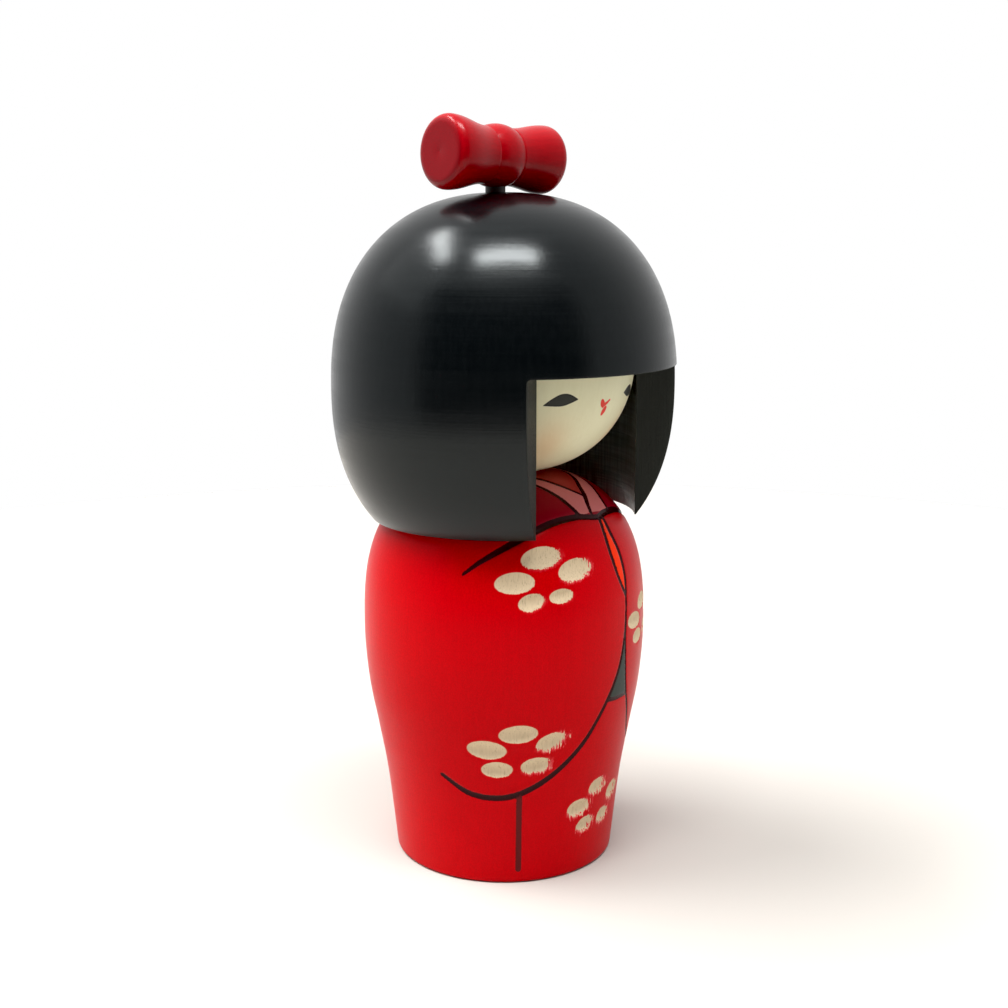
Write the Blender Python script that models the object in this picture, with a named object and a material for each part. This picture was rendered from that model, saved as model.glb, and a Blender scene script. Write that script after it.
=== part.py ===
"""Kokeshi doll: a turned wooden body, a ball head under a turned hair cap, and a bow pegged to the crown.

Units are metres. The base rests on Z = 0, +Z is up and the face looks towards -Y. The head, hair cap, bow
and both pegs turn together about Z in the body's neck socket.
"""

import math

import bmesh
import bpy
from mathutils import Matrix, Vector

MM = 0.001

# Gaps and round-offs
GLUE_GAP = 0.3 * MM
TURNING_GAP = 0.15 * MM
EDGE_ROUND = 0.8 * MM

# Body: a flank that swells from the base to the sleeves, then a domed shoulder with a flat seat on top
BODY_FLANK = (
    (22.6 * MM, 0.0 * MM),
    (24.4 * MM, 16.0 * MM),
    (26.2 * MM, 26.5 * MM),
    (28.1 * MM, 37.0 * MM),
    (28.9 * MM, 48.2 * MM),
)
SHOULDER_HALF_HEIGHT = 32.0 * MM
SHOULDER_POWER = 2.78
SEAT_HEIGHT = 79.8 * MM
BODY_SEGMENTS = 56

# Neck dowel: glued into the head, a turning fit in the body
NECK_DOWEL_RADIUS = 5.0 * MM
NECK_DOWEL_IN_BODY = 14.0 * MM
NECK_DOWEL_IN_HEAD = 12.0 * MM
DOWEL_CHAMFER = 0.6 * MM
DOWEL_SEGMENTS = 24

# Head: a ball with a flattened underside
TURNED_POWER = 2.32
HEAD_CENTRE = 105.0 * MM
HEAD_RADIUS = 26.4 * MM
HEAD_UNDER_HALF_HEIGHT = 25.2 * MM
HEAD_CROWN_HALF_HEIGHT = 23.0 * MM
HEAD_SEGMENTS = 40

# Hair cap: a bell around the head, cut open over the face
HAIR_CENTRE = 96.8 * MM
HAIR_RADIUS = 34.7 * MM
HAIR_CROWN_HALF_HEIGHT = 38.5 * MM
HAIR_SKIRT_HALF_HEIGHT = 36.9 * MM
HAIR_RIM_LAND = 0.3 * MM
HAIR_SEGMENTS = 60

# Face window: a flat-topped notch, open at the bottom, with flat jambs that flare outwards
WINDOW_TOP = 101.9 * MM
WINDOW_HALF_ANGLE = math.radians(42.8)
JAMB_FLARE = math.radians(62.5)

# Bow: one spindle with a bead between two flared ends, set slightly askew on its peg
BOW_HEIGHT = 142.2 * MM
BOW_HALF_LENGTH = 14.1 * MM
BOW_LEFT_END_RADIUS = 7.15 * MM
BOW_RIGHT_END_RADIUS = 6.75 * MM
BOW_END_ROUND = 1.3 * MM
BOW_WAIST_RADIUS = 5.6 * MM
BOW_BEAD_HALF_WIDTH = 3.1 * MM
BOW_BEAD_RADIUS = 6.2 * MM
BOW_SEAM_DEPTH = 0.3 * MM
BOW_SEAM_HALF_WIDTH = 0.25 * MM
BOW_YAW = math.radians(8.1)
BOW_DROOP = math.radians(2.3)
BOW_SEGMENTS = 32

# Bow peg: pins the bow, the hair cap and the head together
BOW_PEG_RADIUS = 2.0 * MM
BOW_PEG_PLACE = (-1.1 * MM, 1.3 * MM)
BOW_PEG_IN_BEAD = 3.6 * MM
BOW_PEG_IN_HEAD = 7.0 * MM

# Plum flowers carved into the body: (turn from the front, height of the centre)
FLOWERS = (
    (math.radians(-33.9), 62.6 * MM),
    (math.radians(-43.7), 28.7 * MM),
    (math.radians(3.3), 13.7 * MM),
    (math.radians(25.6), 51.0 * MM),
    (math.radians(66.0), 29.5 * MM),
    (math.radians(166.0), 58.0 * MM),
    (math.radians(-160.0), 20.0 * MM),
)
FLOWER_HALF_WIDTH = 6.4 * MM
FLOWER_HALF_HEIGHT = 4.3 * MM
FLOWER_TILT = math.radians(4.0)
UPPER_PETAL = (4.0 * MM, 2.1 * MM)
LOWER_PETAL = (2.8 * MM, 1.65 * MM)
PETAL_COUNT = 5
PETAL_EDGE_DEPTH = 0.12 * MM
PETAL_DEPTH = 0.4 * MM
PETAL_SIDES = 12

CUTTER_MARGIN = 2.0 * MM
SCREW_MERGE = 0.00001
SHARP_ANGLE = math.radians(35.0)


def clear_scene():
    """Remove every object, so that the script can be run again in an open file."""
    for obj in list(bpy.data.objects):
        bpy.data.objects.remove(obj, do_unlink=True)


def wood_finish(name, colour, roughness):
    """A Principled material for one sub-part."""
    material = bpy.data.materials.new(name)
    material.use_nodes = True
    shader = material.node_tree.nodes["Principled BSDF"]
    shader.inputs["Base Color"].default_value = (*colour, 1.0)
    shader.inputs["Roughness"].default_value = roughness
    shader.inputs["Metallic"].default_value = 0.0
    return material


def superellipse(centre, radius, half_height, power, start, end, count):
    """(radius, height) points on a superellipse, between two angles measured up from its widest ring."""
    points = []
    for step in range(count + 1):
        angle = start + (end - start) * step / count
        across = abs(math.cos(angle)) ** (2.0 / power)
        up = math.copysign(abs(math.sin(angle)) ** (2.0 / power), angle)
        points.append((radius * across, centre + half_height * up))
    return points


def superellipse_angle(rise, half_height, power):
    """The angle at which a superellipse stands this far above its widest ring."""
    return math.copysign(math.asin((abs(rise) / half_height) ** (power / 2.0)), rise)


def smooth_through(points, steps):
    """A Catmull-Rom curve through the points, which leaves the last one straight up."""
    knots = [Vector(point) for point in points]
    first = knots[0] * 2.0 - knots[1]
    last = Vector((knots[-2].x, 2.0 * knots[-1].y - knots[-2].y))
    knots = [first, *knots, last]
    curve = []
    for before, start, end, after in zip(knots, knots[1:], knots[2:], knots[3:]):
        for step in range(steps):
            t = step / steps
            linear = (end - before) * t
            square = (before * 2.0 - start * 5.0 + end * 4.0 - after) * t**2
            cube = (start * 3.0 - before - end * 3.0 + after) * t**3
            curve.append(start + (linear + square + cube) * 0.5)
    curve.append(knots[-2])
    return [(point.x, point.y) for point in curve]


def body_outer_outline():
    """The body's outer side, from the edge of its seat down to the base."""
    flank_steps = 2
    shoulder_steps = 11
    widest, widest_height = BODY_FLANK[-1]
    seat_rise = SEAT_HEIGHT - widest_height
    seat_angle = superellipse_angle(seat_rise, SHOULDER_HALF_HEIGHT, SHOULDER_POWER)
    shoulder = superellipse(
        widest_height, widest, SHOULDER_HALF_HEIGHT, SHOULDER_POWER, seat_angle, 0.0, shoulder_steps
    )
    flank = smooth_through(BODY_FLANK, flank_steps)[::-1]
    base_radius = BODY_FLANK[0][0]
    return shoulder + flank[1:-1] + [
        (base_radius, EDGE_ROUND),
        (base_radius - 0.3 * EDGE_ROUND, 0.3 * EDGE_ROUND),
        (base_radius - EDGE_ROUND, 0.0),
    ]


def radius_at(outline, height):
    """The outline's radius at a height, for an outline that only goes down."""
    for (upper_r, upper_z), (lower_r, lower_z) in zip(outline, outline[1:]):
        if lower_z <= height <= upper_z:
            share = (height - lower_z) / (upper_z - lower_z)
            return lower_r + (upper_r - lower_r) * share
    return outline[-1][0]


def new_object(name, mesh, material):
    obj = bpy.data.objects.new(name, mesh)
    bpy.context.scene.collection.objects.link(obj)
    if material:
        mesh.materials.append(material)
    return obj


def turned(name, outline, segments, material):
    """A lathe-turned solid: an outline of (radius, height) points, spun about Z by a Screw modifier."""
    mesh = bpy.data.meshes.new(name)
    points = [(radius, 0.0, height) for radius, height in outline]
    edges = [(index, index + 1) for index in range(len(points) - 1)]
    mesh.from_pydata(points, edges, [])
    obj = new_object(name, mesh, material)
    spin = obj.modifiers.new("Spin", "SCREW")
    spin.angle = math.tau
    spin.steps = segments
    spin.render_steps = segments
    spin.use_merge_vertices = True
    spin.merge_threshold = SCREW_MERGE
    spin.use_smooth_shade = True
    return obj


def peg_outline(radius, low, high):
    """A plain dowel with chamfered ends."""
    return [
        (0.0, high),
        (radius - DOWEL_CHAMFER, high),
        (radius, high - DOWEL_CHAMFER),
        (radius, low + DOWEL_CHAMFER),
        (radius - DOWEL_CHAMFER, low),
        (0.0, low),
    ]


def as_cutter(obj):
    """Keep a helper out of the finished part."""
    obj.hide_render = True
    obj.display_type = "WIRE"
    return obj


def cut(obj, cutter, many_pieces=False):
    """Take the cutter's volume out of an object. A cutter of many close pieces needs the self test."""
    boolean = obj.modifiers.new("Cut " + cutter.name, "BOOLEAN")
    boolean.operation = "DIFFERENCE"
    boolean.solver = "EXACT"
    boolean.use_self = many_pieces
    boolean.object = cutter


def settle(obj):
    """Turn an object's modifiers into its mesh, shaded smooth with its real edges kept crisp."""
    evaluated = obj.evaluated_get(bpy.context.evaluated_depsgraph_get())
    mesh = bpy.data.meshes.new_from_object(evaluated)
    obj.modifiers.clear()
    obj.data = mesh
    mesh.shade_smooth()
    mesh.set_sharp_from_angle(angle=SHARP_ANGLE)


def prism(name, corners, low, high):
    """A closed upright prism over a plan given anticlockwise."""
    shape = bmesh.new()
    plan = [shape.verts.new((x, y, low)) for x, y in corners]
    bottom = shape.faces.new(plan)
    grown = bmesh.ops.extrude_face_region(shape, geom=[bottom])
    risen = [item for item in grown["geom"] if isinstance(item, bmesh.types.BMVert)]
    bmesh.ops.translate(shape, verts=risen, vec=(0.0, 0.0, high - low))
    bmesh.ops.recalc_face_normals(shape, faces=shape.faces)
    mesh = bpy.data.meshes.new(name)
    shape.to_mesh(mesh)
    shape.free()
    return new_object(name, mesh, None)


def petal_places():
    """(turn from the front, height, half length, half height) of every carved petal."""
    outline = body_outer_outline()
    places = []
    for turn, height in FLOWERS:
        reach = radius_at(outline, height)
        for petal in range(PETAL_COUNT):
            angle = math.radians(90.0) + math.tau * petal / PETAL_COUNT
            across = FLOWER_HALF_WIDTH * math.cos(angle)
            up = FLOWER_HALF_HEIGHT * math.sin(angle)
            side = across * math.cos(FLOWER_TILT) - up * math.sin(FLOWER_TILT)
            rise = up * math.cos(FLOWER_TILT) + across * math.sin(FLOWER_TILT)
            size = UPPER_PETAL if math.sin(angle) > 0.0 else LOWER_PETAL
            places.append((turn + side / reach, height + rise, *size))
    return places


def petal_cutter():
    """Every petal as a shallow scoop that follows the body's curved surface."""
    outline = body_outer_outline()
    shape = bmesh.new()

    def on_body(turn, height, outwards):
        radius = radius_at(outline, height) + outwards
        return shape.verts.new((radius * math.sin(turn), -radius * math.cos(turn), height))

    for turn, height, half_length, half_height in petal_places():
        reach = radius_at(outline, height)
        lids, edges = [], []
        for side in range(PETAL_SIDES):
            angle = math.tau * side / PETAL_SIDES
            side_turn = turn + half_length * math.cos(angle) / reach
            side_height = height + half_height * math.sin(angle)
            lids.append(on_body(side_turn, side_height, CUTTER_MARGIN))
            edges.append(on_body(side_turn, side_height, -PETAL_EDGE_DEPTH))
        lid_middle = on_body(turn, height, CUTTER_MARGIN)
        scoop_middle = on_body(turn, height, -PETAL_DEPTH)
        for side in range(PETAL_SIDES):
            after = (side + 1) % PETAL_SIDES
            shape.faces.new((lids[side], lids[after], lid_middle))
            shape.faces.new((edges[after], edges[side], scoop_middle))
            shape.faces.new((lids[side], edges[side], edges[after], lids[after]))
    bmesh.ops.recalc_face_normals(shape, faces=shape.faces)
    mesh = bpy.data.meshes.new("petal_cutter")
    shape.to_mesh(mesh)
    shape.free()
    return as_cutter(new_object("petal_cutter", mesh, None))


def make_body():
    """The kimono: a turned solid with the neck socket bored down its axis and carved plum flowers."""
    socket_radius = NECK_DOWEL_RADIUS + TURNING_GAP
    socket_floor = SEAT_HEIGHT - NECK_DOWEL_IN_BODY - GLUE_GAP
    outline = [
        (0.0, socket_floor),
        (socket_radius, socket_floor),
        (socket_radius, SEAT_HEIGHT - DOWEL_CHAMFER),
        (socket_radius + DOWEL_CHAMFER, SEAT_HEIGHT),
        *body_outer_outline(),
        (0.0, 0.0),
    ]
    body = turned("body", outline, BODY_SEGMENTS, wood_finish("red_lacquer", (0.61, 0.004, 0.010), 0.35))
    cut(body, petal_cutter(), many_pieces=True)
    return body


def make_neck_dowel():
    low = SEAT_HEIGHT - NECK_DOWEL_IN_BODY
    high = SEAT_HEIGHT + NECK_DOWEL_IN_HEAD
    finish = wood_finish("pale_dowel_wood", (0.60, 0.43, 0.25), 0.6)
    return turned("neck_dowel", peg_outline(NECK_DOWEL_RADIUS, low, high), DOWEL_SEGMENTS, finish)


def make_head(peg_hole):
    """The face ball: flattened underneath, with a blind bore for the neck dowel and one for the bow peg."""
    crown_steps = 8
    under_steps = 10
    bore_radius = NECK_DOWEL_RADIUS + TURNING_GAP
    seat = SEAT_HEIGHT + GLUE_GAP
    bore_top = SEAT_HEIGHT + NECK_DOWEL_IN_HEAD + GLUE_GAP
    seat_angle = superellipse_angle(seat - HEAD_CENTRE, HEAD_UNDER_HALF_HEIGHT, TURNED_POWER)
    crown = superellipse(
        HEAD_CENTRE, HEAD_RADIUS, HEAD_CROWN_HALF_HEIGHT, TURNED_POWER, math.pi / 2.0, 0.0, crown_steps
    )
    under = superellipse(
        HEAD_CENTRE, HEAD_RADIUS, HEAD_UNDER_HALF_HEIGHT, TURNED_POWER, 0.0, seat_angle, under_steps
    )
    outline = [*crown, *under[1:], (bore_radius, seat), (bore_radius, bore_top), (0.0, bore_top)]
    head = turned("head_ball", outline, HEAD_SEGMENTS, wood_finish("face_cream", (0.68, 0.60, 0.38), 0.45))
    cut(head, peg_hole)
    return head


def make_window_cutter():
    """The notch over the face: two flared planes that meet inside the head, up to the flat window top."""
    edge_x = HAIR_RADIUS * math.sin(WINDOW_HALF_ANGLE)
    edge_y = -HAIR_RADIUS * math.cos(WINDOW_HALF_ANGLE)
    apex_y = edge_y + edge_x / math.tan(JAMB_FLARE)
    far_x = 2.0 * HAIR_RADIUS
    far_y = apex_y - far_x / math.tan(JAMB_FLARE)
    front_y = far_y - HAIR_RADIUS
    corners = [(0.0, apex_y), (-far_x, far_y), (-far_x, front_y), (far_x, front_y), (far_x, far_y)]
    low = HAIR_CENTRE - HAIR_SKIRT_HALF_HEIGHT
    return as_cutter(prism("window_cutter", corners, low, WINDOW_TOP))


def make_hair_cap(peg_hole):
    """The hair: a turned bell, hollowed to take the head, with the window and the peg hole cut through it."""
    crown_steps = 14
    skirt_steps = 8
    dome_steps = 7
    cavity_radius = HEAD_RADIUS + GLUE_GAP
    rim_radius = cavity_radius + HAIR_RIM_LAND
    rim_angle = -math.acos((rim_radius / HAIR_RADIUS) ** (TURNED_POWER / 2.0))
    crown = superellipse(
        HAIR_CENTRE, HAIR_RADIUS, HAIR_CROWN_HALF_HEIGHT, TURNED_POWER, math.pi / 2.0, 0.0, crown_steps
    )
    skirt = superellipse(
        HAIR_CENTRE, HAIR_RADIUS, HAIR_SKIRT_HALF_HEIGHT, TURNED_POWER, 0.0, rim_angle, skirt_steps
    )
    dome = superellipse(
        HEAD_CENTRE,
        cavity_radius,
        HEAD_CROWN_HALF_HEIGHT + GLUE_GAP,
        TURNED_POWER,
        0.0,
        math.pi / 2.0,
        dome_steps,
    )
    outline = [*crown, *skirt[1:], (cavity_radius, skirt[-1][1]), *dome]
    hair = turned("hair_cap", outline, HAIR_SEGMENTS, wood_finish("black_hair", (0.006, 0.007, 0.008), 0.35))
    cut(hair, make_window_cutter())
    cut(hair, peg_hole)
    return hair


def bow_half_outline(end_radius):
    """Half of the spindle, from the middle of its end face to the seam beside the bead."""
    round_steps = 4
    flare_steps = 7
    points = [(0.0, BOW_HALF_LENGTH)]
    for step in range(round_steps + 1):
        angle = math.radians(90.0) * step / round_steps
        radius = end_radius - BOW_END_ROUND * (1.0 - math.sin(angle))
        along = BOW_HALF_LENGTH - BOW_END_ROUND * (1.0 - math.cos(angle))
        points.append((radius, along))
    flare_start = BOW_HALF_LENGTH - BOW_END_ROUND
    flare_end = BOW_BEAD_HALF_WIDTH + BOW_SEAM_HALF_WIDTH
    for step in range(1, flare_steps + 1):
        share = step / flare_steps
        ease = 0.5 - 0.5 * math.cos(math.pi * share)
        radius = end_radius + (BOW_WAIST_RADIUS - end_radius) * ease
        points.append((radius, flare_start + (flare_end - flare_start) * share))
    points.append((BOW_WAIST_RADIUS - BOW_SEAM_DEPTH, BOW_BEAD_HALF_WIDTH))
    return points


def make_bow(peg_hole):
    """The bow: one spindle lying across the crown, bored from below for its peg."""
    bead_steps = 4
    right = bow_half_outline(BOW_RIGHT_END_RADIUS)
    left = [(radius, -along) for radius, along in reversed(bow_half_outline(BOW_LEFT_END_RADIUS))]
    bead = []
    for step in range(bead_steps + 1):
        share = 1.0 - 2.0 * step / bead_steps
        bulge = (BOW_BEAD_RADIUS - BOW_WAIST_RADIUS) * (1.0 - share**2)
        bead.append((BOW_WAIST_RADIUS + bulge, share * (BOW_BEAD_HALF_WIDTH - BOW_SEAM_HALF_WIDTH)))
    bow = turned("bow", [*right, *bead, *left], BOW_SEGMENTS, wood_finish("bow_red", (0.50, 0.004, 0.012), 0.25))
    upright_to_x = Matrix.Rotation(math.radians(90.0), 4, "Y")
    droop = Matrix.Rotation(BOW_DROOP, 4, "Y")
    yaw = Matrix.Rotation(-BOW_YAW, 4, "Z")
    place = Matrix.Translation((*BOW_PEG_PLACE, BOW_HEIGHT))
    bow.matrix_world = place @ yaw @ droop @ upright_to_x
    cut(bow, peg_hole)
    return bow


def bow_peg_span():
    """The lowest and highest point of the bow peg."""
    high = BOW_HEIGHT - BOW_BEAD_RADIUS + BOW_PEG_IN_BEAD
    low = HEAD_CENTRE + HEAD_CROWN_HALF_HEIGHT - BOW_PEG_IN_HEAD
    return low, high


def make_peg_hole():
    """The bore for the bow peg, a glue gap larger than the peg all round."""
    low, high = bow_peg_span()
    outline = [
        (0.0, high + GLUE_GAP),
        (BOW_PEG_RADIUS + GLUE_GAP, high + GLUE_GAP),
        (BOW_PEG_RADIUS + GLUE_GAP, low - GLUE_GAP),
        (0.0, low - GLUE_GAP),
    ]
    hole = turned("peg_hole", outline, DOWEL_SEGMENTS, None)
    hole.location.xy = BOW_PEG_PLACE
    return as_cutter(hole)


def make_bow_peg():
    low, high = bow_peg_span()
    finish = wood_finish("dark_peg", (0.03, 0.006, 0.006), 0.4)
    peg = turned("bow_peg", peg_outline(BOW_PEG_RADIUS, low, high), DOWEL_SEGMENTS, finish)
    peg.location.xy = BOW_PEG_PLACE
    return peg


def main():
    clear_scene()
    body = make_body()
    peg_hole = make_peg_hole()
    turning_pieces = [
        make_neck_dowel(),
        make_head(peg_hole),
        make_hair_cap(peg_hole),
        make_bow(peg_hole),
        make_bow_peg(),
    ]
    head_axis = bpy.data.objects.new("head_axis", None)
    head_axis.location.z = SEAT_HEIGHT
    bpy.context.scene.collection.objects.link(head_axis)
    bpy.context.view_layer.update()
    for piece in turning_pieces:
        piece.parent = head_axis
        piece.matrix_parent_inverse = head_axis.matrix_world.inverted()
    for piece in [body, *turning_pieces]:
        settle(piece)


main()
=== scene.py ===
"""The looks of a kokeshi doll: lacquered, carved and painted wood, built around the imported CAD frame.

Shapes are worked out in millimetres, about the doll's upright axis, and turned into metres when a mesh is
made. A "turn" is an angle about that axis, in degrees from the front, growing towards +X. A "height" is
above the base. A "reach" is a signed distance in millimetres from the edge of a painted or carved mark,
positive inside it.
"""

import math

import bmesh
import bpy
import numpy as np
from mathutils import Matrix, Vector


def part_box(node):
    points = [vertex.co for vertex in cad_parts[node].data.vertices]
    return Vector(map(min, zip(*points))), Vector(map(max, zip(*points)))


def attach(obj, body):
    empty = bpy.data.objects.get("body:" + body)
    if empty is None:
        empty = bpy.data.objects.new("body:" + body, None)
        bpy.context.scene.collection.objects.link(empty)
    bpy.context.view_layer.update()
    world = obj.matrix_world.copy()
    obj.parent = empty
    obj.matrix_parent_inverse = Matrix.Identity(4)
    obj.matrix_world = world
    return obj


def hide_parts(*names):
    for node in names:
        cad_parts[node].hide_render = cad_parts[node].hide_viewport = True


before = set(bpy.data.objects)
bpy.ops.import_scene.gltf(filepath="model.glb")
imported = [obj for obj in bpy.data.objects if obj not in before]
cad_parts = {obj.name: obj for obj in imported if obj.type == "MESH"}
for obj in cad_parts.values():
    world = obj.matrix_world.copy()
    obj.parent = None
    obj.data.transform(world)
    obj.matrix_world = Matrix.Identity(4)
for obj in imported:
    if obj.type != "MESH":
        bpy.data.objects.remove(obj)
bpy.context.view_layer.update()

MM = 0.001
FAR = 3.0
TINY = 1e-6
SHARP_EDGE = math.radians(40.0)


def node_span(node):
    """The lowest and highest corner of a CAD node, in millimetres."""
    low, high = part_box(node)
    return np.array(low) / MM, np.array(high) / MM


# Sizes that the frame gives
BODY_RADIUS, _, SEAT_HEIGHT = node_span("body")[1]
HEAD_SEAT = node_span("head_ball")[0][2]
HEAD_RADIUS, _, HEAD_TOP = node_span("head_ball")[1]
HAIR_RADIUS, _, HAIR_TOP = node_span("hair_cap")[1]
PEG_LOW, PEG_HIGH = node_span("bow_peg")
PEG_RADIUS = (PEG_HIGH[0] - PEG_LOW[0]) / 2.0
DOWEL_LOW, DOWEL_HIGH = node_span("neck_dowel")
DOWEL_RADIUS = (DOWEL_HIGH[0] - DOWEL_LOW[0]) / 2.0
BOW_BOTTOM = node_span("bow")[0][2]

# Body
BODY_FLANK = ((22.6, 0.0), (24.4, 16.0), (26.2, 26.5), (28.1, 37.0))
WIDEST_HEIGHT = 48.2
SHOULDER_HALF_HEIGHT = 32.0
SHOULDER_POWER = 2.78
BASE_ROUND = 0.8
BODY_COLUMNS = 420
BODY_ROWS = 215
FRONT_CROWDING = 0.4
PLAN_REACH = 20.0

# Neck dowel, bow peg and their bores
DOWEL_CHAMFER = 0.6
DOWEL_COLUMNS = 96
SANDED_WAIST = 0.04
BORE_CLEARANCE = 0.15
GLUE_GAP = 0.3
PEG_FIT = 0.06
PEG_HOLE_COLUMNS = 48

# Head and hair
TURNED_POWER = 2.32
HEAD_CENTRE = 105.0
HEAD_UNDER_HALF_HEIGHT = 25.2
HEAD_FACE_ROWS = 190
HEAD_CROWN_ROWS = 50
HEAD_COLUMNS = 380
FACE_CROWDING = 0.62
HAIR_CENTRE = 96.8
HAIR_SKIRT_HALF_HEIGHT = 36.9
CAVITY_GAP = 0.3
CAVITY_RADIUS = HEAD_RADIUS + CAVITY_GAP
CAVITY_TOP = HEAD_TOP + CAVITY_GAP
RIM_LAND = 0.3
WINDOW_TOP = 101.9
WINDOW_HALF_ANGLE = math.radians(42.8)
JAMB_FLARE = math.radians(62.5)
WINDOW_CORNER = 0.7
WINDOW_EDGE_ROUND = 0.1
HAIR_JAMB_ROWS = 60
HAIR_CORNER_ROWS = 8
HAIR_CROWN_ROWS = 90
HAIR_DOME_ROWS = 40
HAIR_WINDOW_COLUMNS = 70
HAIR_BACK_COLUMNS = 230
HAIR_SAWN_COLUMNS = 8
HAIR_WELD = 0.002

# Bow
BOW_HEIGHT = 142.2
BOW_HALF_LENGTH = 14.1
BOW_LEFT_END_RADIUS = 7.15
BOW_RIGHT_END_RADIUS = 6.75
BOW_END_ROUND = 2.0
BOW_WAIST_RADIUS = 5.6
BOW_BEAD_HALF_WIDTH = 3.1
BOW_BEAD_RADIUS = 6.2
BOW_SEAM_DEPTH = 0.1
BOW_SEAM_HALF_WIDTH = 0.25
BOW_YAW = math.radians(8.1)
BOW_DROOP = math.radians(2.3)
LATHE_MARK_RADIUS = 0.3
LATHE_MARK_DEPTH = 0.05
BOW_COLUMNS = 160

# Plum flowers, five petals each: across, up, half length and half height in millimetres, lean in degrees,
# and how far the gouge tore the fibres
PLUM_OPEN = (
    (-0.4, 4.5, 4.0, 2.15, 8.0, 0.5),
    (-5.9, 0.1, 3.85, 2.05, 3.0, 0.15),
    (6.4, 1.8, 3.7, 2.1, 10.0, 0.9),
    (-2.9, -3.6, 2.6, 1.65, 12.0, 0.4),
    (3.1, -2.8, 2.5, 1.4, 4.0, 0.3),
)
PLUM_TORN = (
    (0.0, 4.1, 3.85, 1.95, 3.0, 0.1),
    (-6.1, 0.7, 3.9, 2.0, -5.0, 0.1),
    (6.6, 2.0, 3.1, 1.85, 16.0, 1.6),
    (-4.0, -3.6, 3.1, 1.75, 0.0, 0.15),
    (3.6, -2.9, 3.0, 1.75, 6.0, 0.9),
)
PLUM_SMALL = (
    (-0.9, 4.1, 2.7, 1.7, 6.0, 1.8),
    (-6.0, 0.6, 2.8, 1.8, 6.0, 1.8),
    (5.7, 1.1, 2.6, 1.8, 6.0, 1.8),
    (-3.6, -3.6, 2.3, 1.6, 10.0, 2.2),
    (2.4, -3.4, 2.2, 1.6, 6.0, 2.0),
)
# Where the flowers lie: kind, turn and height of the middle, and size
FLOWERS = (
    (PLUM_OPEN, -33.1, 62.8, 1.0),
    (PLUM_TORN, -43.7, 28.7, 1.0),
    (PLUM_SMALL, 2.5, 13.9, 1.0),
    (PLUM_TORN, 25.6, 50.9, 0.85),
    (PLUM_TORN, 66.0, 29.5, 0.95),
    (PLUM_OPEN, 166.0, 58.0, 1.0),
    (PLUM_SMALL, -160.0, 20.0, 1.1),
)
PETAL_EDGE_WIDTH = 0.3
PETAL_EDGE_DEPTH = 0.16
PETAL_SCOOP_DEPTH = 0.5
PETAL_BOWL = 2.1

# Incised lines of the kimono: turn, height and half width at each point
SLEEVE_LINE = (
    (7.8, 57.2, 0.35), (7.1, 53.7, 0.32), (5.9, 49.4, 0.32), (2.2, 42.4, 0.38), (-6.1, 34.6, 0.48),
    (-15.6, 28.1, 0.55), (-30.5, 22.4, 0.62), (-47.1, 19.1, 0.66), (-64.1, 19.4, 0.62), (-78.1, 22.9, 0.42),
)
FRONT_LINE = (
    (7.8, 57.2, 0.35), (7.0, 51.1, 0.30), (7.0, 46.7, 0.30), (8.3, 42.0, 0.32), (11.3, 36.9, 0.36),
    (17.7, 31.2, 0.42), (25.0, 26.4, 0.50), (37.0, 21.7, 0.60), (52.0, 19.1, 0.66), (68.0, 19.3, 0.62),
    (82.0, 22.4, 0.42),
)
COLLAR_LINE = (
    (-66.0, 64.3, 0.30), (-58.1, 67.0, 0.52), (-44.4, 70.2, 0.72), (-28.0, 72.8, 0.78), (-11.0, 73.5, 0.72),
    (4.1, 72.8, 0.66), (13.0, 73.1, 0.72), (28.0, 72.6, 0.78), (44.0, 70.4, 0.72), (58.0, 67.2, 0.52),
    (66.0, 64.5, 0.30),
)
BAND_LEFT_UPPER = (
    (-60.0, 80.2, 0.4), (-30.0, 79.9, 0.45), (-10.1, 79.4, 0.5), (-2.1, 78.5, 0.48), (4.5, 77.2, 0.42),
    (8.2, 76.3, 0.38),
)
BAND_LEFT_LOWER = (
    (-70.0, 79.3, 0.4), (-42.0, 79.3, 0.42), (-23.3, 78.9, 0.45), (-14.1, 77.3, 0.48), (-10.2, 75.4, 0.5),
    (-7.4, 73.6, 0.45),
)
BAND_RIGHT_UPPER = (
    (80.0, 79.2, 0.42), (52.0, 78.9, 0.45), (31.1, 78.4, 0.5), (16.9, 77.6, 0.55), (9.3, 76.4, 0.6),
    (4.2, 75.2, 0.52), (1.2, 73.8, 0.42),
)
BAND_RIGHT_LOWER = (
    (80.0, 78.4, 0.35), (55.0, 78.1, 0.38), (40.0, 77.3, 0.4), (29.0, 76.3, 0.42), (21.8, 74.9, 0.42),
    (18.0, 73.3, 0.4),
)
LINING_LEFT = ((4.2, 72.3, 0.45), (2.4, 69.8, 0.48), (1.7, 66.5, 0.48), (3.4, 61.9, 0.42), (7.8, 57.2, 0.35))
LINING_RIGHT = ((7.6, 72.2, 0.45), (7.0, 69.8, 0.5), (8.2, 66.0, 0.5), (8.6, 61.5, 0.45), (7.8, 57.2, 0.35))
SASH_EDGE = ((-2.3, 37.1, 0.45), (3.1, 36.8, 0.45), (11.3, 36.8, 0.4))
SKIRT_LEFT = ((-42.6, 18.8, 0.58), (-42.5, 11.0, 0.58), (-42.4, 3.0, 0.58))
SKIRT_RIGHT = ((57.6, 18.8, 0.58), (57.5, 11.0, 0.58), (57.4, 3.0, 0.58))
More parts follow.
